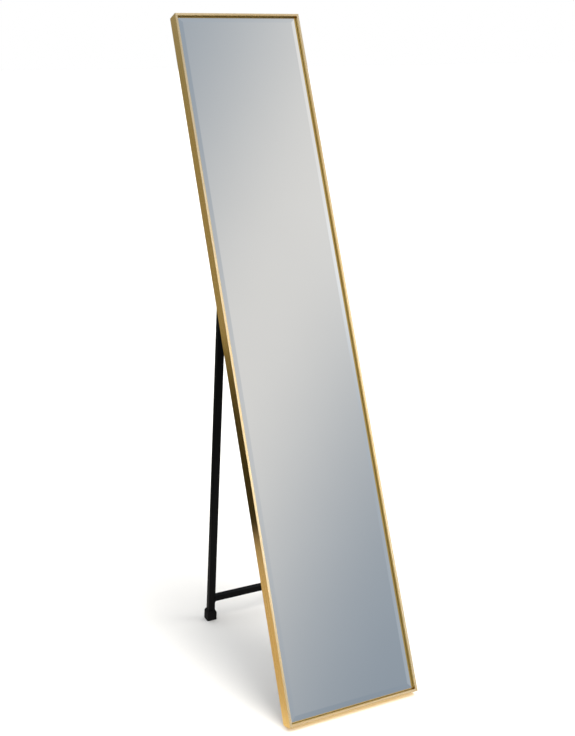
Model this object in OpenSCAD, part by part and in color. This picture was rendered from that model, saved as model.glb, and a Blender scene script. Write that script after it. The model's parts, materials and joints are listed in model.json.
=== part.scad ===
// Free-standing full-length mirror: a slim metal frame with a deep recessed bevelled glass,
// leaning back on an H-shaped steel stand that hinges on the back board and folds flat.
// Millimetres, +Z up, the glass faces -Y. The origin is on the floor, at the middle of the footprint.

/* [Frame] */
// Width of the frame across its front
frame_w = 300; // [280:1:400]
// Height of the frame, measured along the glass
frame_h = 1500; // [1400:1:1600]
// Depth of the frame, from the front rim to the back flange
frame_d = 32; // [32:0.5:36]
// Width of the front rim
rim_w = 5; // [4.5:0.1:7]
// Thickness of the rails' outer wall
rail_wall = 1.5; // [1.2:0.1:1.8]
// Thickness of the walls round the rails' front chamber
chamber_wall = 1.2; // [1:0.1:1.4]
// Reach of the back flange, inwards from the outer face
flange_reach = 12; // [11:0.5:14]
// Reach of the thin lip that holds the back board
lip_reach = 8; // [6:0.5:9]

/* [Mirror] */
// Depth of the glass behind the front rim
glass_recess = 7; // [6:0.5:14]
// Thickness of the glass
glass_t = 4; // [3:0.5:4]
// How far the bevel falls back from the face to the edge of the glass
bevel_drop = 0.4; // [0.2:0.1:1.6]
// Width of the bevel ground round the glass
bevel_w = 12; // [8:1:25]
// Gap between the edge of the glass and the frame
glass_gap = 0.8; // [0.5:0.1:2]
// Thickness of the mounting tape between glass and board
tape_t = 0.5; // [0.3:0.1:1]
// Thickness of the back board
board_t = 9; // [8:0.5:10]

/* [Stand] */
// Lean of the mirror back from the vertical, in degrees
lean = 22; // [18:0.5:23]
// Angle between the open stand and the back of the mirror, in degrees
stand_angle = 28; // [26:0.5:32]
// Distance from the middle plane to each leg
leg_x = 115.5; // [90:0.5:116]
// Outside size of the square leg tube
leg_size = 16; // [14:0.5:16]
// Wall thickness of the tubes
tube_wall = 1.2; // [1:0.1:1.5]
// Outside size of the square crossbar tube
crossbar_size = 14; // [12:0.5:14]
// Height of the crossbar up the legs, from the floor to its middle
crossbar_up = 55; // [45:1:200]

/* [Hinge] */
// Height of the hinge, measured along the glass
hinge_h = 950; // [850:1:1000]
// Distance of the hinge axis behind the front rim
pivot_d = 42; // [41.5:0.5:44]
// Thickness of the steel of the brackets
bracket_t = 2; // [1.5:0.1:2.5]

/* [Feet] */
// Outside size of the rubber boots
boot_size = 23; // [20:0.5:24]
// Height of the rubber boots
boot_h = 26; // [20:1:35]
// Height of the boots' sloping shoulder
shoulder_h = 6; // [2:0.5:8]

/* [Hidden] */
$fn = 48;

GOLD = "#c9a24f";
SILVER = "#b9c2c6";
TAPE = "#f2f0ea";
BOARD = "#2a2522";
BLACK = "#17171a";
STEEL = "#a9adb2";
NYLON = "#e6e2d8";
RUBBER = "#0d0d0e";

// Rails: the glass seat, the board groove and the key slot, from front to back
board_front = glass_recess + glass_t + tape_t;
board_back = board_front + board_t;
lip_t = 1;
flange_t = 1.5;
slot_front = board_back + lip_t;
slot_back = frame_d - flange_t;
board_edge = rail_wall + 0.5;
glass_w = frame_w - 2 * (rim_w + glass_gap);
glass_h = frame_h - 2 * (rim_w + glass_gap);

// Corner keys and their set screws
key_clear = 0.05;
key_inner = rail_wall + 0.2;
key_outer = flange_reach - 1.5;
key_len = 50;
key_screw_r = 2;
key_screw_sunk = 0.1;
key_socket_r = 1.15;
key_socket_d = 1;
key_screw_u = (key_inner + key_outer) / 2;
key_screw_at = [22, 40];

// Mounting tape
tape_w = 25;
tape_end = 60;
tape_len = glass_h - 2 * tape_end;
tape_x = [-95, 0, 95];

// Hinge hardware
bolt_r = 3;
run_clear = 0.05;
bolt_head_af = 10;
bolt_head_t = 4;
nut_t = 5.5;
bolt_tail = 1.5;
nut_hex_t = 0.75 * nut_t;
nut_collar_r = 0.46 * bolt_head_af;
bush_wall = 1;
bush_collar_r = 6.5;
bush_collar_t = 1;
bush_inside = 1.5;
ear_clear = 0.2;
ear_gap = leg_size + 2 * (bush_collar_t + ear_clear);
ear_r = 7.5;
ear_foot = 13;
plate_w = 40;
plate_h = 54;
plate_r = 4;
plate_back = board_back + bracket_t;
screw_dx = 15;
screw_dz = 20;
screw_r = 1.75;
screw_hole_r = 2;
screw_len = 8;
screw_head_r = 3.6;
screw_head_t = 2.2;
screw_rim_t = 1;
screw_dome_r = 3.1;
screw_dome_t = 1.75;
screw_top_r = 2.2;
recess_w = 0.9;
recess_l = 4;
recess_t = 1.3;

// Tube corners, plugs and boots
tube_r = 1.6;
plug_t = 2;
plug_body = 5;
plug_clear = 0.1;
boot_floor = 5;
boot_r = 1.5;
boot_lip = 0.8;
boot_under = 2.5;
stop_gap = 0.1;

// Where the tilted mirror and the stand sit in the world
rise = frame_d * sin(lean);
front_y = -(frame_h * sin(lean) + frame_d * cos(lean)) / 2;
pivot_y = front_y + hinge_h * sin(lean) + pivot_d * cos(lean);
pivot_z = rise + hinge_h * cos(lean) - pivot_d * sin(lean);
stand_tilt = stand_angle - lean;
leg_len = pivot_z / cos(stand_tilt);

// The leg's top end reaches the bracket plate when the stand is open, and that is its stop
stop_reach = pivot_d - plate_back - stop_gap;
leg_top = (stop_reach - leg_size / 2 * cos(stand_angle)) / sin(stand_angle);

far = 2000;

// Places children made upright, with y the depth behind the rim and z along the glass
module in_mirror() {
    translate([0, front_y, rise])
        rotate([-lean, 0, 0])
            children();
}

// Places children made about the hinge axis, with z up along the open legs
module in_stand() {
    translate([0, pivot_y, pivot_z])
        rotate([stand_tilt, 0, 0])
            children();
}

// Places children at one hinge: side is -1 on the left and 1 on the right
module at_hinge(side) {
    in_mirror()
        translate([side * leg_x, pivot_d, hinge_h])
            children();
}

module rounded_square(w, d, r) {
    square([w - 2 * r, d], center = true);
    square([w, d - 2 * r], center = true);
    for (x = [-1, 1])
        for (y = [-1, 1])
            translate([x * (w / 2 - r), y * (d / 2 - r)])
                circle(r = r);
}

module square_tube(size, length) {
    linear_extrude(height = length)
        difference() {
            rounded_square(size, size, tube_r);
            rounded_square(size - 2 * tube_wall, size - 2 * tube_wall, tube_r - tube_wall);
        }
}

// Cylinder along X, centred
module x_cylinder(r, length, sides = 48) {
    rotate([0, 90, 0])
        cylinder(r = r, h = length, center = true, $fn = sides);
}

// Cross-section of the rails: x is inwards from the outer face, y is back from the rim
module rail_profile() {
    difference() {
        polygon([
            [0, 0], [rim_w, 0], [rim_w, board_front], [rail_wall, board_front],
            [rail_wall, board_back], [lip_reach, board_back],
            [lip_reach, slot_front], [rail_wall, slot_front],
            [rail_wall, slot_back], [flange_reach, slot_back],
            [flange_reach, frame_d], [0, frame_d]
        ]);
        translate([chamber_wall, chamber_wall])
            square([rim_w - 2 * chamber_wall, board_front - 2 * chamber_wall]);
    }
}

// Rail that stands along Z from 0, with both ends mitred and drilled for the key screws
module rail(length) {
    reach = flange_reach + 1;
    difference() {
        intersection() {
            linear_extrude(height = length)
                rail_profile();
            translate([0, frame_d + 1, 0])
                rotate([90, 0, 0])
                    linear_extrude(height = frame_d + 2)
                        polygon([[0, 0], [reach, reach], [reach, length - reach], [0, length]]);
        }
        for (at = key_screw_at)
            for (z = [at, length - at])
                translate([key_screw_u, frame_d, z])
                    rotate([90, 0, 0])
                        cylinder(r = key_screw_r, h = 2 * flange_t + 1, center = true);
    }
}

// Rail that lies along X with its outer face down
module lying_rail() {
    translate([frame_w / 2, 0, 0])
        rotate([0, -90, 0])
            rail(frame_w);
}

module rail_left() {
    color(GOLD)
        in_mirror()
            translate([-frame_w / 2, 0, 0])
                rail(frame_h);
}

module rail_right() {
    color(GOLD)
        in_mirror()
            mirror([1, 0, 0])
                translate([-frame_w / 2, 0, 0])
                    rail(frame_h);
}

module rail_bottom() {
    color(GOLD)
        in_mirror()
            lying_rail();
}

module rail_top() {
    color(GOLD)
        in_mirror()
            translate([0, 0, frame_h])
                mirror([0, 0, 1])
                    lying_rail();
}

// Repeats children made at the lower left corner at all four corners
module at_corners() {
    for (x = [0, 1])
        for (z = [0, 1])
            mirror([x, 0, 0])
                translate([-frame_w / 2, 0, z * frame_h])
                    mirror([0, 0, z])
                        children();
}

module corner_keys() {
    color(STEEL)
        in_mirror()
            at_corners()
                translate([0, slot_back - key_clear, 0])
                    rotate([90, 0, 0])
                        linear_extrude(height = slot_back - slot_front - 2 * key_clear)
                            polygon([
                                [key_inner, key_inner], [key_len, key_inner], [key_len, key_outer],
                                [key_outer, key_outer], [key_outer, key_len], [key_inner, key_len]
                            ]);
}

// Headless set screw with a hexagon socket, from the key out to just under the flange's face
module key_screw() {
    front = slot_back - key_clear;
    length = frame_d - key_screw_sunk - front;
    translate([0, front, 0])
        rotate([-90, 0, 0])
            difference() {
                cylinder(r = key_screw_r - run_clear, h = length);
                translate([0, 0, length - key_socket_d])
                    cylinder(r = key_socket_r, h = 2 * key_socket_d, $fn = 6);
            }
}

module key_screws() {
    color(STEEL)
        in_mirror()
            at_corners()
                for (at = key_screw_at) {
                    translate([key_screw_u, 0, at])
                        key_screw();
                    translate([at, 0, key_screw_u])
                        key_screw();
                }
}

// Section across the glass of width w: flat back, bevelled front
module glass_section(w) {
    polygon([
        [-w / 2, glass_recess + bevel_drop], [-w / 2 + bevel_w, glass_recess],
        [w / 2 - bevel_w, glass_recess], [w / 2, glass_recess + bevel_drop],
        [w / 2, glass_recess + glass_t], [-w / 2, glass_recess + glass_t]
    ]);
}

module mirror_glass() {
    color(SILVER)
        in_mirror()
            translate([0, 0, frame_h / 2])
                intersection() {
                    linear_extrude(height = glass_h, center = true)
                        glass_section(glass_w);
                    rotate([0, 90, 0])
                        linear_extrude(height = glass_w, center = true)
                            glass_section(glass_h);
                }
}

module mounting_tape() {
    color(TAPE)
        in_mirror()
            for (x = tape_x)
                translate([x - tape_w / 2, glass_recess + glass_t, (frame_h - tape_len) / 2])
                    cube([tape_w, tape_t, tape_len]);
}

// Repeats children at the four screw places of one bracket, on the back of its plate
module at_bracket_screws() {
    for (x = [-1, 1])
        for (z = [-1, 1])
            translate([x * screw_dx, plate_back - pivot_d, z * screw_dz])
                children();
}

module back_board() {
    board_w = frame_w - 2 * board_edge;
    board_h = frame_h - 2 * board_edge;
    color(BOARD)
        difference() {
            in_mirror()
                translate([-board_w / 2, board_front, board_edge])
                    cube([board_w, board_t, board_h]);
            for (side = [-1, 1])
                at_hinge(side)
                    at_bracket_screws()
                        rotate([90, 0, 0])
                            cylinder(r = screw_r, h = screw_len);
        }
}

// Screw plate with two upright ears; the leg swings between the ears
module hinge_bracket(side) {
    plate_at = board_back - pivot_d;
    color(BLACK)
        at_hinge(side)
            difference() {
                union() {
                    translate([0, plate_at + bracket_t, 0])
                        rotate([90, 0, 0])
                            linear_extrude(height = bracket_t)
                                rounded_square(plate_w, plate_h, plate_r);
                    for (x = [-1, 1])
                        translate([x * (ear_gap + bracket_t) / 2, 0, 0]) {
                            x_cylinder(ear_r, bracket_t);
                            rotate([90, 0, 90])
                                linear_extrude(height = bracket_t, center = true)
                                    polygon([
                                        [plate_at + bracket_t / 2, -ear_foot],
                                        [plate_at + bracket_t / 2, ear_foot],
                                        [0, ear_r], [0, -ear_r]
                                    ]);
                        }
                }
                x_cylinder(bolt_r + run_clear, plate_w);
                at_bracket_screws()
                    rotate([90, 0, 0])
                        cylinder(r = screw_hole_r, h = 3 * bracket_t, center = true);
            }
}

// Pan-head wood screw, with its head on the origin's plane and its shank along -Y
module wood_screw() {
    rotate([90, 0, 0])
        cylinder(r = screw_r, h = screw_len);
    rotate([-90, 0, 0])
        difference() {
            rotate_extrude()
                polygon([
                    [0, 0], [screw_head_r, 0], [screw_head_r, screw_rim_t],
                    [screw_dome_r, screw_dome_t], [screw_top_r, screw_head_t], [0, screw_head_t]
                ]);
            for (turn = [0, 90])
                rotate([0, 0, turn])
                    translate([-recess_l / 2, -recess_w / 2, screw_head_t - recess_t])
                        cube([recess_l, recess_w, 2 * recess_t]);
        }
}

module bracket_screws(side) {
    color(STEEL)
        at_hinge(side)
            at_bracket_screws()
                wood_screw();
}

// Hexagon bolt through both ears, its head on the outer side
module pivot_bolt(side) {
    span = ear_gap + 2 * bracket_t;
    shank = span + nut_t + bolt_tail;
    color(STEEL)
        at_hinge(side)
            mirror([side > 0 ? 1 : 0, 0, 0]) {
                translate([-span / 2 + shank / 2, 0, 0])
                    x_cylinder(bolt_r, shank);
                translate([-span / 2 - bolt_head_t / 2, 0, 0])
                    x_cylinder(bolt_head_af / sqrt(3), bolt_head_t, 6);
            }
}

// Lock nut on the inner side, with a round collar over its nylon ring
module lock_nut(side) {
    span = ear_gap + 2 * bracket_t;
    color(STEEL)
        at_hinge(side)
            mirror([side > 0 ? 1 : 0, 0, 0])
                difference() {
                    union() {
                        translate([span / 2 + nut_hex_t / 2, 0, 0])
                            x_cylinder(bolt_head_af / sqrt(3), nut_hex_t, 6);
                        translate([span / 2 + nut_t / 2, 0, 0])
                            x_cylinder(nut_collar_r, nut_t);
                    }
                    translate([span / 2, 0, 0])
                        x_cylinder(bolt_r + run_clear, 3 * nut_t);
                }
}

// Leg tube from inside its boot to under its top plug
module leg(side) {
    length = leg_len - boot_floor + leg_top - plug_t;
    color(BLACK)
        in_stand()
            translate([side * leg_x, 0, 0])
                difference() {
                    translate([0, 0, boot_floor - leg_len])
                        square_tube(leg_size, length);
                    x_cylinder(bolt_r + run_clear + bush_wall, 2 * leg_size);
                }
}

// Two collared bushes, one pressed into each wall of the leg
module pivot_bushes(side) {
    sleeve = bush_collar_t + tube_wall + bush_inside;
    color(NYLON)
        in_stand()
            translate([side * leg_x, 0, 0])
                for (x = [0, 1])
                    mirror([x, 0, 0])
                        translate([leg_size / 2, 0, 0])
                            difference() {
                                union() {
                                    translate([bush_collar_t / 2, 0, 0])
                                        x_cylinder(bush_collar_r, bush_collar_t);
                                    translate([bush_collar_t - sleeve / 2, 0, 0])
                                        x_cylinder(bolt_r + run_clear + bush_wall, sleeve);
                                }
                                x_cylinder(bolt_r + run_clear, 4 * sleeve);
                            }
}

module leg_plug(side) {
    inner = leg_size - 2 * (tube_wall + plug_clear);
    color(BLACK)
        in_stand()
            translate([side * leg_x, 0, leg_top - plug_t]) {
                linear_extrude(height = plug_t)
                    rounded_square(leg_size, leg_size, tube_r);
                translate([0, 0, -plug_body])
                    linear_extrude(height = plug_body + plug_t / 2)
                        rounded_square(inner, inner, tube_r - tube_wall);
            }
}

// Tube welded between the insides of the legs
module crossbar() {
    length = 2 * leg_x - leg_size;
    color(BLACK)
        in_stand()
            translate([-length / 2, 0, crossbar_up - leg_len])
                rotate([0, 90, 0])
                    square_tube(crossbar_size, length);
}

// Upright section of a boot, from under the floor up to the sloping shoulder
module boot_section() {
    half = boot_size / 2;
    top_half = leg_size / 2 + boot_lip;
    polygon([
        [-half, -boot_under], [half, -boot_under], [half, boot_h - shoulder_h],
        [top_half, boot_h], [-top_half, boot_h], [-half, boot_h - shoulder_h]
    ]);
}

// Rubber boot round the end of a leg, its sole cut level with the floor
module foot_boot(side) {
    color(RUBBER)
        difference() {
            in_stand()
                translate([side * leg_x, 0, -leg_len])
                    difference() {
                        intersection() {
                            rotate([90, 0, 0])
                                linear_extrude(height = boot_size, center = true)
                                    boot_section();
                            rotate([90, 0, 90])
                                linear_extrude(height = boot_size, center = true)
                                    boot_section();
                            translate([0, 0, -boot_floor])
                                linear_extrude(height = boot_h + 2 * boot_floor)
                                    rounded_square(boot_size, boot_size, boot_r);
                        }
                        translate([0, 0, boot_floor])
                            linear_extrude(height = boot_h)
                                rounded_square(leg_size, leg_size, tube_r);
                    }
            translate([-far / 2, -far / 2, -far])
                cube([far, far, far]);
        }
}

rail_left();
rail_right();
rail_top();
rail_bottom();
corner_keys();
key_screws();
mirror_glass();
mounting_tape();
back_board();
hinge_bracket(-1);  // hinge_bracket_left
hinge_bracket(1);  // hinge_bracket_right
bracket_screws(-1);  // bracket_screws_left
bracket_screws(1);  // bracket_screws_right
pivot_bolt(-1);  // pivot_bolt_left
pivot_bolt(1);  // pivot_bolt_right
lock_nut(-1);  // lock_nut_left
lock_nut(1);  // lock_nut_right
leg(-1);  // leg_left
leg(1);  // leg_right
pivot_bushes(-1);  // pivot_bushes_left
pivot_bushes(1);  // pivot_bushes_right
leg_plug(-1);  // leg_plug_left
leg_plug(1);  // leg_plug_right
crossbar();
foot_boot(-1);  // foot_boot_left
foot_boot(1);  // foot_boot_right
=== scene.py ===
"""Looks for the free-standing mirror: materials, weld beads, fasteners, studio and camera."""

import json
import math

import bmesh
import bpy
from mathutils import Matrix, Vector, noise


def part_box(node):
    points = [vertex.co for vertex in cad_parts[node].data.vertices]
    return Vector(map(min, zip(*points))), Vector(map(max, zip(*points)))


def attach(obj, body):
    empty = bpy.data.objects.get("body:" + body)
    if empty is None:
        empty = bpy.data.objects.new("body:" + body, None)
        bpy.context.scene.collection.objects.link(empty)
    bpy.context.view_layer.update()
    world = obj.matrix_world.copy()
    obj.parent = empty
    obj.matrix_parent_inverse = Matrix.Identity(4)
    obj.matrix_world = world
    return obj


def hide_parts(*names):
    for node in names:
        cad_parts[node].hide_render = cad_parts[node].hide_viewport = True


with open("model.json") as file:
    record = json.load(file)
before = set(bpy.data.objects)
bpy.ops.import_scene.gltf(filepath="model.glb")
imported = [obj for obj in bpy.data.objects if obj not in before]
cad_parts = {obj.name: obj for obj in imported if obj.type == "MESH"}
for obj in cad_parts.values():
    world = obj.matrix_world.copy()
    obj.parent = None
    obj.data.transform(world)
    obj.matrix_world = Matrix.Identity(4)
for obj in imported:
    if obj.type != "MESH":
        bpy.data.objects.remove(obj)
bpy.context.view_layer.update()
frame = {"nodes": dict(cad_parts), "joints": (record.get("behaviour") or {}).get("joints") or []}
NODES = frame["nodes"]

MM = 0.001
# each side of the mirror and its direction along X
OUTWARD = {"left": -1, "right": 1}


# ---------------------------------------------------------------- places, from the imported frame


def centre(node):
    """Middle of a CAD node's box."""
    low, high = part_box(node)
    return (low + high) / 2


def upright(across, up):
    """Rotation whose columns are across, back and up."""
    back = up.cross(across)
    return Matrix((across, back, up)).transposed()


ACROSS = Vector((1, 0, 0))
PIVOT = Vector(next(j["pos_m"] for j in frame["joints"] if j["name"] == "stand_fold"))
GLASS_NORMAL = max(NODES["mirror_glass"].data.polygons, key=lambda p: p.area).normal
MIRROR_UP = Vector((0, abs(GLASS_NORMAL.z), abs(GLASS_NORMAL.y)))
LEG_UP = (PIVOT - centre("crossbar")).normalized()
MIRROR_TURN = upright(ACROSS, MIRROR_UP)
LEG_TURN = upright(ACROSS, LEG_UP)
LEAN = math.atan2(MIRROR_UP.y, MIRROR_UP.z)
LEG_LEAN = math.atan2(LEG_UP.y, LEG_UP.z)


# ---------------------------------------------------------------- shader helpers


def node(tree, kind, inputs=None, **props):
    """New shader node. An input given as a socket is linked, and any other value is set on the socket."""
    made = tree.nodes.new(kind)
    for name, value in props.items():
        setattr(made, name, value)
    for key, value in (inputs or {}).items():
        if isinstance(value, bpy.types.NodeSocket):
            tree.links.new(value, made.inputs[key])
        else:
            made.inputs[key].default_value = value
    return made


def maths(tree, operation, *values):
    """Result of a Math node."""
    return node(tree, "ShaderNodeMath", dict(enumerate(values)), operation=operation).outputs[0]


def vectors(tree, operation, *values, output="Vector"):
    """Result of a Vector Math node: its Vector output, or Value where the result is a number."""
    return node(tree, "ShaderNodeVectorMath", dict(enumerate(values)), operation=operation).outputs[output]


def material(name, **sockets):
    """New Principled material; returns it with its tree and shader node."""
    made = bpy.data.materials.new(name)
    made.use_nodes = True
    tree = made.node_tree
    shader = tree.nodes["Principled BSDF"]
    for key, value in sockets.items():
        shader.inputs[key.replace("_", " ")].default_value = value
    return made, tree, shader


def local_coords(tree, tilt, scale):
    """Object coordinates turned upright by tilt about X and scaled, per axis or alike on all three."""
    if isinstance(scale, float):
        scale = (scale,) * 3
    coords = node(tree, "ShaderNodeTexCoord").outputs["Object"]
    turned = node(tree, "ShaderNodeMapping", {"Vector": coords, "Rotation": (tilt, 0, 0)})
    return node(tree, "ShaderNodeMapping", {"Vector": turned.outputs[0], "Scale": scale}).outputs[0]


def noise_value(tree, coords, detail=3.0, roughness=0.5, distortion=0.0):
    """Noise from 0 to 1 at the given coordinates."""
    settings = {"Scale": 1.0, "Detail": detail, "Roughness": roughness, "Distortion": distortion}
    return node(tree, "ShaderNodeTexNoise", {"Vector": coords, **settings}).outputs[0]


def span(tree, value, low, high, start=0.3, end=0.7):
    """Value mapped so that start gives low and end gives high."""
    inputs = {"Value": value, "From Min": start, "From Max": end, "To Min": low, "To Max": high}
    return node(tree, "ShaderNodeMapRange", inputs).outputs[0]


def blend_colours(tree, factor, first, second):
    """Mix of two colours."""
    mixer = node(tree, "ShaderNodeMix", data_type="RGBA")
    tree.links.new(factor, mixer.inputs["Factor"])
    for key, colour in (("A", first), ("B", second)):
        socket = next(s for s in mixer.inputs if s.name == key and s.type == "RGBA")
        if isinstance(colour, bpy.types.NodeSocket):
            tree.links.new(colour, socket)
        else:
            socket.default_value = (*colour, 1)
    return next(s for s in mixer.outputs if s.type == "RGBA")


def drift(tree, value, colours):
    """Colour that drifts from the first of two tones to the second as a noise value rises."""
    return blend_colours(tree, span(tree, value, 0.0, 1.0), *colours)


def bump(tree, shader, height, distance, strength=1.0):
    """Bump of the shader's normal; distance is in metres."""
    inputs = {"Height": height, "Distance": distance, "Strength": strength}
    tree.links.new(node(tree, "ShaderNodeBump", inputs).outputs[0], shader.inputs["Normal"])


# ---------------------------------------------------------------- materials

# two tones that each colour drifts between
GOLD_SIDE = ((0.79, 0.48, 0.105), (0.85, 0.545, 0.14))
# gold of the faces towards the front, paler and whiter than the gold itself: a painted highlight
GOLD_FRONT_WITH_PAINTED_HIGHLIGHT = ((0.90, 0.70, 0.42), (0.95, 0.76, 0.48))
SILVER_FACE = ((0.885, 0.905, 0.905), (0.895, 0.915, 0.915))
GLASS_EDGE = ((0.34, 0.43, 0.40), (0.50, 0.58, 0.55))
ZINC_CRYSTALS = ((0.50, 0.51, 0.53), (0.66, 0.67, 0.68))
BOARD_FACE = ((0.020, 0.018, 0.017), (0.040, 0.036, 0.033))
BLACK_RUBBER = ((0.002, 0.002, 0.002), (0.004, 0.004, 0.004))
BLACK_PLASTIC = ((0.014, 0.014, 0.014), (0.022, 0.022, 0.022))
IVORY_NYLON = ((0.72, 0.69, 0.61), (0.80, 0.78, 0.71))
WHITE_FOAM = ((0.78, 0.77, 0.73), (0.86, 0.85, 0.82))
# single tones
GOLD_STREAK = (0.66, 0.385, 0.09)
BOARD_SCUFF = (0.085, 0.075, 0.065)
# cosine above which a surface counts as facing the front
FRONT_COSINE = 0.9


def facing_out(tree, fade=0.01):
    """1 on surfaces that face out of the mirror's front, fading to 0 as the cosine falls by fade."""
    normal = node(tree, "ShaderNodeNewGeometry").outputs["True Normal"]
    cosine = vectors(tree, "DOT_PRODUCT", normal, -MIRROR_TURN.col[1], output="Value")
    return span(tree, cosine, 0.0, 1.0, FRONT_COSINE - fade, FRONT_COSINE)


def brushed_scale(across, along, axis):
    """Noise scale per axis, in features per metre, for marks drawn out along one axis."""
    return [along if i == axis else across for i in range(3)]


def brushed_gold(name, axis):
    """Satin brass-gold plate, brushed along one axis of the mirror: 0 is across and 2 is up. Faces towards
    the front get a paler, whiter gold: a painted highlight.
    """
    made, tree, shader = material(name, Metallic=1.0, Anisotropic=0.9, Anisotropic_Rotation=0.25)
    fine = local_coords(tree, LEAN, brushed_scale(1400.0, 9.0, axis))
    broad = local_coords(tree, LEAN, brushed_scale(260.0, 3.0, axis))
    scratches = noise_value(tree, fine, detail=4.0, roughness=0.65)
    streaks = noise_value(tree, broad)
    cloud = noise_value(tree, local_coords(tree, LEAN, 9.0), detail=4.0)
    side = drift(tree, cloud, GOLD_SIDE)
    # the paler front gold is a painted highlight, blended in on faces towards the front
    rim = drift(tree, cloud, GOLD_FRONT_WITH_PAINTED_HIGHLIGHT)
    plate = blend_colours(tree, facing_out(tree, 0.51), side, rim)
    worked = blend_colours(tree, span(tree, streaks, 0.0, 0.5), plate, GOLD_STREAK)
    tree.links.new(worked, shader.inputs["Base Color"])
    tree.links.new(span(tree, scratches, 0.22, 0.33), shader.inputs["Roughness"])
    brushed = MIRROR_UP if axis == 2 else ACROSS
    tangent = node(tree, "ShaderNodeCombineXYZ", dict(zip("XYZ", brushed)))
    tree.links.new(tangent.outputs[0], shader.inputs["Tangent"])
    bump(tree, shader, scratches, 0.04 * MM, 0.5)
    return made


def silvered_glass():
    """Silvered face and bevel, with greenish polished edges and back."""
    made, tree, shader = material("silvered_glass", IOR=1.5)
    silvered = facing_out(tree)
    haze = noise_value(tree, local_coords(tree, LEAN, 7.0), detail=2.0)
    grain = noise_value(tree, local_coords(tree, LEAN, 300.0), detail=2.0)
    face = drift(tree, haze, SILVER_FACE)
    edge = drift(tree, grain, GLASS_EDGE)
    tree.links.new(blend_colours(tree, silvered, edge, face), shader.inputs["Base Color"])
    tree.links.new(silvered, shader.inputs["Metallic"])
    tree.links.new(span(tree, silvered, 0.18, 0.015, 0.0, 1.0), shader.inputs["Roughness"])
    return made


def powder_coat(name, tilt, tone=0.002):
    """Matt black powder coat with a fine orange-peel surface; tone is its darkest grey."""
    made, tree, shader = material(name, IOR=1.45, Specular_IOR_Level=0.08)
    peel = noise_value(tree, local_coords(tree, tilt, 1100.0), detail=2.0)
    dust = noise_value(tree, local_coords(tree, tilt, 14.0), detail=5.0, roughness=0.6)
    dark = (tone, tone, tone * 1.08)
    dusty = (tone * 1.7, tone * 1.7, tone * 1.8)
    tree.links.new(drift(tree, dust, (dark, dusty)), shader.inputs["Base Color"])
    tree.links.new(span(tree, dust, 0.48, 0.62), shader.inputs["Roughness"])
    bump(tree, shader, peel, 0.08 * MM, 0.6)
    return made


def moulded(name, colours, rough, grain_size=0.9 * MM, depth=0.06 * MM, **sockets):
    """Moulded rubber or plastic with a fine spark-eroded grain and slight colour drift."""
    made, tree, shader = material(name, **sockets)
    grain = noise_value(tree, local_coords(tree, 0.0, 1 / grain_size))
    tint = noise_value(tree, local_coords(tree, 0.0, 60.0))
    tree.links.new(drift(tree, tint, colours), shader.inputs["Base Color"])
    tree.links.new(span(tree, grain, rough - 0.06, rough + 0.06), shader.inputs["Roughness"])
    bump(tree, shader, grain, depth, 0.6)
    return made


def zinc_plate():
    """Bright zinc plating, with cloudy crystals and fine turning marks."""
    made, tree, shader = material("zinc_plate", Metallic=1.0)
    spangle = node(tree, "ShaderNodeTexVoronoi", {"Vector": local_coords(tree, 0.0, 700.0)})
    marks = noise_value(tree, local_coords(tree, 0.0, (2500.0, 300.0, 300.0)))
    tint = node(tree, "ShaderNodeSeparateColor", {0: spangle.outputs["Color"]}).outputs[0]
    tree.links.new(blend_colours(tree, tint, *ZINC_CRYSTALS), shader.inputs["Base Color"])
    tree.links.new(span(tree, marks, 0.22, 0.42), shader.inputs["Roughness"])
    bump(tree, shader, marks, 0.03 * MM, 0.5)
    return made


def fibreboard():
    """Black-faced fibreboard: pressed fibres in the paper face, with light scuffs."""
    made, tree, shader = material("fibreboard", Specular_IOR_Level=0.25)
    drawn_out = local_coords(tree, LEAN, (420.0, 420.0, 90.0))
    fibres = noise_value(tree, drawn_out, detail=5.0, roughness=0.7, distortion=0.6)
    pores = noise_value(tree, local_coords(tree, LEAN, 1500.0), detail=2.0)
    scuffs = noise_value(tree, local_coords(tree, LEAN, (16.0, 16.0, 5.0)), detail=6.0, roughness=0.7)
    face = drift(tree, fibres, BOARD_FACE)
    worn = blend_colours(tree, span(tree, scuffs, 0.0, 0.35, 0.5, 0.8), face, BOARD_SCUFF)
    tree.links.new(worn, shader.inputs["Base Color"])
    tree.links.new(span(tree, fibres, 0.62, 0.82), shader.inputs["Roughness"])
    bump(tree, shader, pores, 0.08 * MM, 0.5)
    return made


GOLD_UP = brushed_gold("brushed_gold_upright", 2)
GOLD_ACROSS = brushed_gold("brushed_gold_across", 0)
GLASS = silvered_glass()
COAT = powder_coat("powder_coat_stand", LEG_LEAN)
COAT_BRACKET = powder_coat("powder_coat_bracket", LEAN, tone=0.003)
ZINC = zinc_plate()
BOARD = fibreboard()
RUBBER = moulded("boot_rubber", BLACK_RUBBER, 0.72, Specular_IOR_Level=0.1)
PLASTIC = moulded("plug_plastic", BLACK_PLASTIC, 0.5)
NYLON = moulded("bush_nylon", IVORY_NYLON, 0.42, Subsurface_Weight=0.15)
FOAM = moulded("foam_tape", WHITE_FOAM, 0.85, grain_size=0.4 * MM, depth=0.1 * MM)

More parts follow.
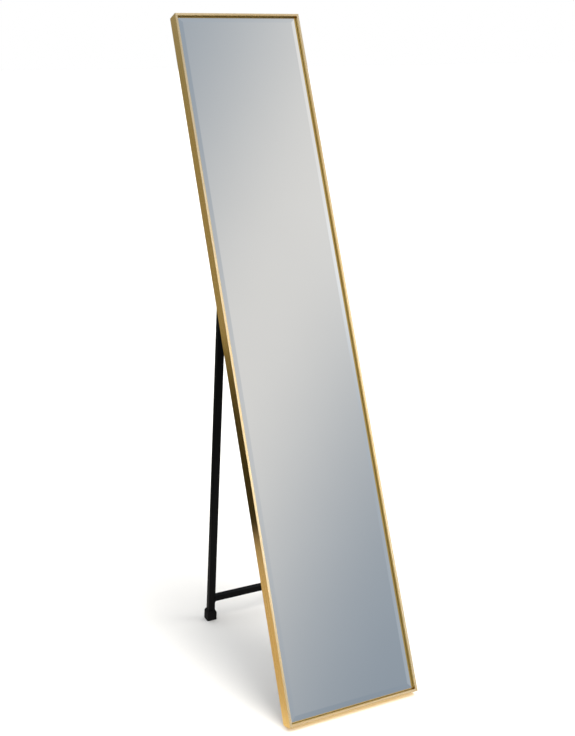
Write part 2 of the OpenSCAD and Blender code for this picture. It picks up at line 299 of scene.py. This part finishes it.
# material and width of the soft edges in millimetres, for each CAD node that shows
LOOKS = {
    "rail_left": (GOLD_UP, 0.4),
    "rail_right": (GOLD_UP, 0.4),
    "rail_top": (GOLD_ACROSS, 0.4),
    "rail_bottom": (GOLD_ACROSS, 0.4),
    "corner_keys": (ZINC, 0.2),
    "key_screws": (ZINC, 0.1),
    "mirror_glass": (GLASS, 0.2),
    "mounting_tape": (FOAM, 0.05),
    "back_board": (BOARD, 0.4),
    "crossbar": (COAT, 0.0),
}
for side in OUTWARD:
    LOOKS |= {
        f"hinge_bracket_{side}": (COAT_BRACKET, 0.3),
        f"bracket_screws_{side}": (ZINC, 0.12),
        f"leg_{side}": (COAT, 0.0),
        f"pivot_bushes_{side}": (NYLON, 0.15),
        f"leg_plug_{side}": (PLASTIC, 0.3),
        f"foot_boot_{side}": (RUBBER, 0.7),
    }

FLAT_SIDED = (
    "rail_left", "rail_right", "rail_top", "rail_bottom", "corner_keys", "mirror_glass", "back_board",
)
# corners closer than this are joined, faces this close to flat become one, and sharper edges are softened
JOIN_WITHIN = 0.002 * MM
FLAT_WITHIN = math.radians(0.5)
SOFTEN_ABOVE = math.radians(35)
SOFT_SEGMENTS = 3


def dress(name, look, edge_mm):
    """Gives a CAD node its material and soft edges, by modifiers that leave its mesh alone."""
    piece = NODES[name]
    piece.data.materials.clear()
    piece.data.materials.append(look)
    if "custom_normal" in piece.data.attributes:
        piece.data.attributes.remove(piece.data.attributes["custom_normal"])
    weld = piece.modifiers.new("join_corners", "WELD")
    weld.merge_threshold = JOIN_WITHIN
    if name in FLAT_SIDED:
        flats = piece.modifiers.new("join_flat_faces", "DECIMATE")
        flats.decimate_type = "DISSOLVE"
        flats.angle_limit = FLAT_WITHIN
    if edge_mm > 0:
        edges = piece.modifiers.new("soft_edges", "BEVEL")
        edges.width = edge_mm * MM
        edges.segments = SOFT_SEGMENTS
        edges.limit_method = "ANGLE"
        edges.angle_limit = SOFTEN_ABOVE
    if name in FLAT_SIDED:
        piece.data.shade_flat()
    else:
        piece.data.shade_smooth()
        shading = piece.modifiers.new("shading", "WEIGHTED_NORMAL")
        shading.keep_sharp = False


for name, (look, edge_mm) in LOOKS.items():
    dress(name, look, edge_mm)


# ---------------------------------------------------------------- pieces built here

CREASE_ABOVE = math.radians(32)


def add_piece(name, build, look, body):
    """Builds a mesh with build(bm), and rides it on a body."""
    bm = bmesh.new()
    build(bm)
    bmesh.ops.recalc_face_normals(bm, faces=bm.faces)
    mesh = bpy.data.meshes.new(name)
    bm.to_mesh(mesh)
    bm.free()
    mesh.materials.append(look)
    mesh.shade_smooth()
    mesh.set_sharp_from_angle(angle=CREASE_ABOVE)
    piece = bpy.data.objects.new(name, mesh)
    bpy.context.scene.collection.objects.link(piece)
    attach(piece, body)
    return piece


def loft(bm, rings, joined=False):
    """Skins equal rings of points, with flat ends or with the last ring joined to the first."""
    verts = [[bm.verts.new(p) for p in ring] for ring in rings]
    following = verts[1:] + verts[:1] if joined else verts[1:]
    count = len(rings[0])
    for low, high in zip(verts, following):
        for i in range(count):
            j = (i + 1) % count
            bm.faces.new((low[i], low[j], high[j], high[i]))
    if not joined:
        bm.faces.new(verts[0])
        bm.faces.new(verts[-1])
    return [v for ring in verts for v in ring]


# hinge bolt and nut
BOLT_RADIUS = 3 * MM
THREAD_PITCH = 1.0 * MM
THREAD_DEPTH = 0.3 * MM
THREAD_POINTS = 40
STEPS_PER_TURN = 8
ACROSS_FLATS = 10 * MM
HEX_POINTS = 72
HEX_CORNER = ACROSS_FLATS / math.sqrt(3)
# radius past the corners, which leaves a hexagon uncut
UNCUT = ACROSS_FLATS
# the bolt's head: its hexagon, the washer face under it and the raised disc on it
HEAD_END_RADIUS = 0.4925 * ACROSS_FLATS
HEAD_CHAMFER = 0.495 * (HEX_CORNER - ACROSS_FLATS / 2)
WASHER_FACE_T = 0.4 * MM
WASHER_FACE_RADIUS = 0.47 * ACROSS_FLATS
DISC_T = 0.15 * MM
DISC_FOOT_RADIUS = 0.36 * ACROSS_FLATS
DISC_TOP_RADIUS = 0.34 * ACROSS_FLATS
# the nut: its hexagon's share of the length, then distance from the nut's end and radius of each row
NUT_HEX_SHARE = 0.75
NUT_END_RADIUS = 0.49 * ACROSS_FLATS
NUT_CHAMFER = 0.5 * MM
NUT_COLLAR = (
    (0.5 * MM, 0.45 * ACROSS_FLATS),
    (0.12 * MM, 0.425 * ACROSS_FLATS),
    (0.0, 0.39 * ACROSS_FLATS),
)
NUT_BORE_OUTER = ((0.0, 0.335 * ACROSS_FLATS), (0.3 * MM, 0.306 * ACROSS_FLATS))
NUT_BORE_INNER = ((0.2 * MM, 0.306 * ACROSS_FLATS), (0.0, 0.33 * ACROSS_FLATS))


def ring_along_x(x, radius_at, count):
    """Ring about the X axis, with a point at each angle."""
    angles = [2 * math.pi * i / count for i in range(count)]
    return [Vector((x, radius_at(a) * math.cos(a), radius_at(a) * math.sin(a))) for a in angles]


def hex_radius(angle):
    """Distance from the middle of a bolt's hexagon to its side in the given direction."""
    step = math.pi / 3
    off = (angle + step / 2) % step - step / 2
    return ACROSS_FLATS / 2 / math.cos(off)


def round_rings(rows):
    """Round rings for rows of x and radius."""
    return [ring_along_x(x, lambda a, r=r: r, HEX_POINTS) for x, r in rows]


def hex_rings(rows):
    """Hexagonal rings for rows of x and the radius that the corners are turned down to."""
    return [ring_along_x(x, lambda a, r=r: min(hex_radius(a), r), HEX_POINTS) for x, r in rows]


def thread_rings(length):
    """Rings of a rod along X whose surface rises and falls as a helix, with a small end chamfer."""
    steps = round(length / THREAD_PITCH * STEPS_PER_TURN)
    rings = []
    for k in range(steps + 1):
        x = length * k / steps
        taper = min(1.0, (length - x) / THREAD_PITCH)

        def radius_at(a, x=x, taper=taper):
            wave = abs(((x / THREAD_PITCH - a / (2 * math.pi)) % 1.0) * 2 - 1)
            return BOLT_RADIUS - THREAD_DEPTH * wave - THREAD_DEPTH * (1 - taper)

        rings.append(ring_along_x(x, radius_at, THREAD_POINTS))
    return rings


def build_bolt(bm, tail_end, nut_in, head_in, head_end):
    """Bolt along X: washer face, chamfered hexagon with a raised disc, plain shank and thread."""
    hex_in = head_in + WASHER_FACE_T
    hex_out = head_end - DISC_T
    loft(bm, round_rings(((head_in, WASHER_FACE_RADIUS), (hex_in, WASHER_FACE_RADIUS))))
    head = [(hex_in, HEAD_END_RADIUS), (hex_in + HEAD_CHAMFER, UNCUT)]
    head += [(hex_out - HEAD_CHAMFER, UNCUT), (hex_out, HEAD_END_RADIUS)]
    loft(bm, hex_rings(head))
    loft(bm, round_rings(((hex_out, DISC_FOOT_RADIUS), (head_end, DISC_TOP_RADIUS))))
    loft(bm, round_rings(((nut_in, BOLT_RADIUS), (head_in, BOLT_RADIUS))))
    thread = loft(bm, thread_rings(nut_in - tail_end))
    turn = Matrix.Translation((nut_in, 0, 0)) @ Matrix.Rotation(math.pi, 4, "Z")
    bmesh.ops.transform(bm, matrix=turn, verts=thread)


def build_nut(bm, nut_out, nut_in):
    """Lock nut along X: chamfered hexagon, collar and bore."""
    hex_out = nut_in - NUT_HEX_SHARE * (nut_in - nut_out)
    body = [(nut_in, NUT_END_RADIUS), (nut_in - NUT_CHAMFER, UNCUT)]
    body += [(hex_out + NUT_CHAMFER, UNCUT), (hex_out, NUT_END_RADIUS)]
    rows = [(hex_out, NUT_COLLAR[0][1])]
    rows += [(nut_out + off, radius) for off, radius in (*NUT_COLLAR, *NUT_BORE_OUTER)]
    rows += [(nut_in - off, radius) for off, radius in NUT_BORE_INNER]
    loft(bm, hex_rings(body) + round_rings(rows), joined=True)


def hinge_hardware(side):
    """Pivot bolt and lock nut of one hinge, in detail."""
    out = OUTWARD[side]
    middle = Vector((centre(f"leg_{side}").x, PIVOT.y, PIVOT.z))
    turn = MIRROR_TURN.to_4x4() @ Matrix.Rotation(0 if out > 0 else math.pi, 4, "Z")

    def ends(cad_node):
        """Both ends of a CAD node, as distances from the middle of the leg towards the bolt's head."""
        return sorted(out * (corner.x - middle.x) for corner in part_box(cad_node))

    tail_end, head_end = ends(f"pivot_bolt_{side}")
    nut_out, nut_in = ends(f"lock_nut_{side}")

    def bolt(bm):
        build_bolt(bm, tail_end, nut_in, -nut_in, head_end)
        bmesh.ops.transform(bm, matrix=Matrix.Translation(middle) @ turn, verts=bm.verts)

    def nut(bm):
        build_nut(bm, nut_out, nut_in)
        bmesh.ops.transform(bm, matrix=Matrix.Translation(middle) @ turn, verts=bm.verts)

    for piece_name, build in ((f"pivot_bolt_{side}", bolt), (f"lock_nut_{side}", nut)):
        made = add_piece(f"{piece_name}_detail", build, ZINC, "mirror")
        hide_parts(piece_name)


TUBE_CORNER = 1.6 * MM
# fillet weld: its leg, then the leg's even part, ripples, lumps and hollow face, as shares of it
WELD_LEG = 2.4 * MM
WELD_EVEN = 0.84
WELD_RIPPLE = 0.10
WELD_LUMP = 0.16
WELD_HOLLOW = 0.10
# ripples round the tube, how far along the noise each step goes, and where in the noise each side starts
WELD_RIPPLES = 34
WELD_NOISE_STEP = 0.13
WELD_NOISE_START = (3.7, 0.5)
WELD_STEPS = 220
WELD_SECTION = 7


def tube_outline(t, half):
    """Point and outward direction on a tube's rounded square, at t from 0 to 1 round it."""
    straight = 2 * (half - TUBE_CORNER)
    arc = TUBE_CORNER * math.pi / 2
    quarter, way = divmod(t * 4 * (straight + arc), straight + arc)
    if way < straight:
        point = Vector((half, -half + TUBE_CORNER + way))
        outward = Vector((1, 0))
    else:
        angle = (way - straight) / TUBE_CORNER
        outward = Vector((math.cos(angle), math.sin(angle)))
        point = Vector((half - TUBE_CORNER, half - TUBE_CORNER)) + outward * TUBE_CORNER
    turn = Matrix.Rotation(quarter * math.pi / 2, 2)
    return turn @ point, turn @ outward


def weld_ring(k, half, out):
    """Section of the fillet at one step round the tube."""
    point, outward = tube_outline(k / WELD_STEPS, half)
    ripple = WELD_RIPPLE * math.sin(k * 2 * math.pi * WELD_RIPPLES / WELD_STEPS)
    across, depth = WELD_NOISE_START
    lump = WELD_LUMP * noise.noise(Vector((k * WELD_NOISE_STEP, out * across, depth)))
    leg = WELD_LEG * (WELD_EVEN + ripple + lump)
    ring = []
    for s in range(WELD_SECTION):
        a = math.pi / 2 * s / (WELD_SECTION - 1)
        hollow = 1.0 - WELD_HOLLOW * math.sin(2 * a)
        spot = point + outward * (leg * math.cos(a) * hollow)
        ring.append(Vector((-out * (leg * math.sin(a) * hollow), spot.x, spot.y)))
    ring.append(Vector((0.0, point.x, point.y)))
    return ring


def weld_bead(side):
    """Rippled fillet weld round one end of the crossbar, where it meets the inside of a leg."""
    out = OUTWARD[side]
    bar_low, bar_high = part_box("crossbar")
    bar_end = bar_low.x if out < 0 else bar_high.x
    half = (bar_high - bar_low).y / (abs(LEG_UP.z) + abs(LEG_UP.y)) / 2
    middle = centre("crossbar")
    base = Vector((bar_end, middle.y, middle.z))

    def build(bm):
        loft(bm, [weld_ring(k, half, out) for k in range(WELD_STEPS)], joined=True)
        bmesh.ops.transform(bm, matrix=Matrix.Translation(base) @ LEG_TURN.to_4x4(), verts=bm.verts)

    add_piece(f"crossbar_weld_{side}", build, COAT, "stand")


for side in OUTWARD:
    hinge_hardware(side)
    weld_bead(side)


# ---------------------------------------------------------------- studio


def direction(azimuth, elevation):
    """Unit vector; azimuth 0 is in front of the mirror (-Y) and 90 is at +X, in degrees."""
    a, e = math.radians(azimuth), math.radians(elevation)
    return Vector((math.sin(a) * math.cos(e), -math.cos(a) * math.cos(e), math.sin(e)))


# The backdrop and the first strip come from a fit to the photo's tones in the glass. The other lights
# were set against the photo.
BACKDROP = (0.247, 0.297, 0.36)
# soft light patches: middle, spread in degrees, colour, strength
PATCHES = (
    (direction(30, 88), 24.0, (0.97, 1.0, 1.03), 1.0),
    (direction(30, 68), 11.0, (0.97, 1.0, 1.03), 4.0),
    (direction(70, 10), 14.0, (0.97, 1.0, 1.03), 4.5),
    (direction(42, 24), 5.0, (1.0, 1.0, 1.0), 0.6),
    (direction(-32, 25), 24.0, (1.0, 0.98, 0.95), 0.5),
    (direction(-95, 35), 30.0, (1.0, 0.98, 0.95), 0.4),
    (direction(175, 45), 35.0, (1.0, 0.98, 0.95), 0.5),
)
# long soft strip lights: two directions that each crosses, its spread in degrees and its colour
STRIPS = (
    (direction(25, 23), direction(33, 30.3), 8.2, (0.48, 0.41, 0.33)),
    (direction(39.5, 10), direction(50, 38.6), 5.5, (0.45, 0.44, 0.42)),
)
# where the strips fade out to the left: no light at the first azimuth, full light at the second
STRIPS_END = (17, 22.5)
# narrow upright light for the rims of the upright rails: azimuth, elevation and their spreads in degrees
RIM_LIGHT_AT = (10, 20)
RIM_LIGHT_SPREAD = (4.0, 12.0)
RIM_LIGHT_COLOUR = (6.5, 6.5, 6.5)
# cosines to its direction over which it fades in, so that it has no twin behind the object
RIM_LIGHT_FRONT = (0.0, 0.2)


def bell(tree, value, spread):
    """exp(-(value / spread)^2)"""
    squared = maths(tree, "POWER", maths(tree, "DIVIDE", value, spread), 2.0)
    return maths(tree, "POWER", math.e, maths(tree, "MULTIPLY", squared, -1.0))


def plus(tree, total, weight, colour):
    """Total with weight times colour added."""
    scaled = node(tree, "ShaderNodeVectorMath", {0: colour, 3: weight}, operation="SCALE").outputs[0]
    return vectors(tree, "ADD", total, scaled)


def rim_light(tree, along):
    """Weight of the narrow upright light; along(axis) is the ray's cosine to an axis."""
    azimuth, elevation = RIM_LIGHT_AT
    sideways = bell(tree, along(direction(azimuth + 90, 0)), math.radians(RIM_LIGHT_SPREAD[0]))
    height = maths(tree, "ARCSINE", along((0, 0, 1)))
    above = maths(tree, "SUBTRACT", height, math.radians(elevation))
    upright_part = bell(tree, above, math.radians(RIM_LIGHT_SPREAD[1]))
    in_front = span(tree, along(direction(azimuth, 0)), 0.0, 1.0, *RIM_LIGHT_FRONT)
    return maths(tree, "MULTIPLY", maths(tree, "MULTIPLY", sideways, upright_part), in_front)


def add_world():
    """Dim blue-grey studio with soft lights, which the camera itself sees as plain white."""
    world = bpy.data.worlds.new("studio")
    bpy.context.scene.world = world
    world.use_nodes = True
    tree = world.node_tree
    tree.nodes.clear()
    looking = node(tree, "ShaderNodeTexCoord").outputs["Generated"]

    def along(axis):
        return vectors(tree, "DOT_PRODUCT", looking, axis, output="Value")

    total = node(tree, "ShaderNodeCombineXYZ", dict(zip("XYZ", BACKDROP))).outputs[0]
    unlit, full = (math.sin(math.radians(a - STRIPS_END[1])) for a in STRIPS_END)
    lit = span(tree, along(direction(90 + STRIPS_END[1], 0)), 0.0, 1.0, unlit, full)
    for first, second, spread, colour in STRIPS:
        band = bell(tree, along(first.cross(second).normalized()), math.radians(spread))
        total = plus(tree, total, maths(tree, "MULTIPLY", band, lit), colour)
    total = plus(tree, total, rim_light(tree, along), RIM_LIGHT_COLOUR)
    for axis, spread, colour, strength in PATCHES:
        away = maths(tree, "ARCCOSINE", along(axis))
        total = plus(tree, total, bell(tree, away, math.radians(spread)), [strength * c for c in colour])
    seen = node(tree, "ShaderNodeLightPath").outputs["Is Camera Ray"]
    studio = node(tree, "ShaderNodeBackground", {"Color": total, "Strength": 1.0})
    plain = node(tree, "ShaderNodeBackground", {"Color": (1, 1, 1, 1), "Strength": 1.0})
    mixed = node(tree, "ShaderNodeMixShader", {0: seen, 1: studio.outputs[0], 2: plain.outputs[0]})
    node(tree, "ShaderNodeOutputWorld", {"Surface": mixed.outputs[0]})


FLOOR_HALF = 40.0
FLOOR_CELLS = 8
FLOOR_PAPER = ((0.885, 0.85, 0.80), (0.90, 0.865, 0.815))
# what glass and metal see of the floor: near and far tones, each behind and in front of the mirror,
# the distances over which near fades to far, and the cosines over which behind fades to front
FLOOR_NEAR = (0.80, 0.75, 0.70)
FLOOR_NEAR_FRONT = (1.5, 1.5, 1.5)
FLOOR_FAR = (0.40, 0.40, 0.35)
FLOOR_FAR_FRONT = (0.13, 0.13, 0.12)
FLOOR_FADE = (0.7, 2.2)
FLOOR_FRONT_FADE = (-0.9, -0.3)
CARD_DROP = 0.002
# a dark flag laid on that floor in an arc behind the mirror, and how softly its edges and ends fade
FLAG_SPOT = (-0.15, -0.1, 0.0)
FLAG_RADIUS = 1.66
FLAG_HALF_WIDTH = 0.94
FLAG_FADE = 0.05
FLAG_TOWARDS = (-0.77, 0.64, 0.0)
FLAG_END_FADE = (0.0, 0.4)
FLAG_TONE = (0.012, 0.011, 0.009)


def add_plane(name, look, height):
    """Wide staged plane."""
    mesh = bpy.data.meshes.new(name)
    bm = bmesh.new()
    bmesh.ops.create_grid(bm, x_segments=FLOOR_CELLS, y_segments=FLOOR_CELLS, size=FLOOR_HALF)
    bm.to_mesh(mesh)
    bm.free()
    mesh.materials.append(look)
    plane = bpy.data.objects.new(name, mesh)
    plane.location.z = height
    bpy.context.scene.collection.objects.link(plane)
    return plane


def add_floor():
    """Wide plain pale floor, which reflections don't show."""
    made, tree, shader = material("floor_paper", Roughness=0.9, Specular_IOR_Level=0.1)
    cloud = noise_value(tree, local_coords(tree, 0.0, 1.5), detail=2.0)
    tree.links.new(drift(tree, cloud, FLOOR_PAPER), shader.inputs["Base Color"])
    floor = add_plane("floor", made, 0.0)
    floor.visible_glossy = False


def add_floor_card():
    """Glowing card just under the floor, the floor that glass and metal reflect, with its dark flag."""
    look = bpy.data.materials.new("floor_in_reflections")
    look.use_nodes = True
    tree = look.node_tree
    tree.nodes.clear()
    coords = node(tree, "ShaderNodeTexCoord").outputs["Object"]
    away = vectors(tree, "LENGTH", coords, output="Value")
    from_flag = vectors(tree, "SUBTRACT", coords, FLAG_SPOT)
    radius = vectors(tree, "LENGTH", from_flag, output="Value")
    off = maths(tree, "ABSOLUTE", maths(tree, "SUBTRACT", radius, FLAG_RADIUS))
    arc = span(tree, off, 1.0, 0.0, FLAG_HALF_WIDTH - FLAG_FADE, FLAG_HALF_WIDTH + FLAG_FADE)
    unit = vectors(tree, "NORMALIZE", from_flag)
    facing = vectors(tree, "DOT_PRODUCT", unit, FLAG_TOWARDS, output="Value")
    covered = maths(tree, "MULTIPLY", arc, span(tree, facing, 0.0, 1.0, *FLAG_END_FADE))
    front = span(tree, facing, 1.0, 0.0, *FLOOR_FRONT_FADE)
    near = blend_colours(tree, front, FLOOR_NEAR, FLOOR_NEAR_FRONT)
    far = blend_colours(tree, front, FLOOR_FAR, FLOOR_FAR_FRONT)
    tone = blend_colours(tree, span(tree, away, 0.0, 1.0, *FLOOR_FADE), near, far)
    flagged = blend_colours(tree, covered, tone, FLAG_TONE)
    glow = node(tree, "ShaderNodeEmission", {"Color": flagged})
    node(tree, "ShaderNodeOutputMaterial", {"Surface": glow.outputs[0]})
    card = add_plane("floor_card", look, -CARD_DROP)
    card.visible_camera = False
    card.visible_diffuse = False
    card.visible_shadow = False
    card.visible_transmission = False


def add_sun(name, azimuth, elevation, strength, spread, colour):
    """Soft light from one direction, spread over an angle in degrees, which reflections don't show."""
    data = bpy.data.lights.new(name, "SUN")
    data.energy = strength
    data.angle = math.radians(spread)
    data.color = colour
    lamp = bpy.data.objects.new(name, data)
    lamp.rotation_mode = "QUATERNION"
    lamp.rotation_quaternion = direction(azimuth, elevation).to_track_quat("Z", "Y")
    lamp.visible_glossy = False
    bpy.context.scene.collection.objects.link(lamp)


# camera, solved from the photo's perspective: its place, its turn to the right and its tilt down, in degrees
CAMERA_SPOT = Vector((-1.061, -2.074, 1.358))
CAMERA_TURN = 25.9
CAMERA_TILT = 12.3
CAMERA_LENS = 55.17
CAMERA_SENSOR = 36.0
CAMERA_SHIFT = (0.0255, -0.1196)
CAMERA_REACH = 200.0


def add_camera():
    """Camera at the photo's viewing angle."""
    data = bpy.data.cameras.new("camera")
    data.lens = CAMERA_LENS
    data.sensor_width = CAMERA_SENSOR
    data.shift_x, data.shift_y = CAMERA_SHIFT
    data.clip_end = CAMERA_REACH
    camera = bpy.data.objects.new("camera", data)
    camera.location = CAMERA_SPOT
    camera.rotation_euler = (math.radians(90 - CAMERA_TILT), 0, math.radians(-CAMERA_TURN))
    bpy.context.scene.collection.objects.link(camera)
    bpy.context.scene.camera = camera


add_world()
add_floor()
add_floor_card()
add_sun("key", azimuth=25, elevation=58, strength=2.3, spread=40, colour=(1.0, 0.985, 0.96))
add_sun("dome", azimuth=0, elevation=90, strength=0.7, spread=150, colour=(1.0, 1.0, 1.0))
add_camera()
bpy.context.scene.view_settings.view_transform = "Standard"
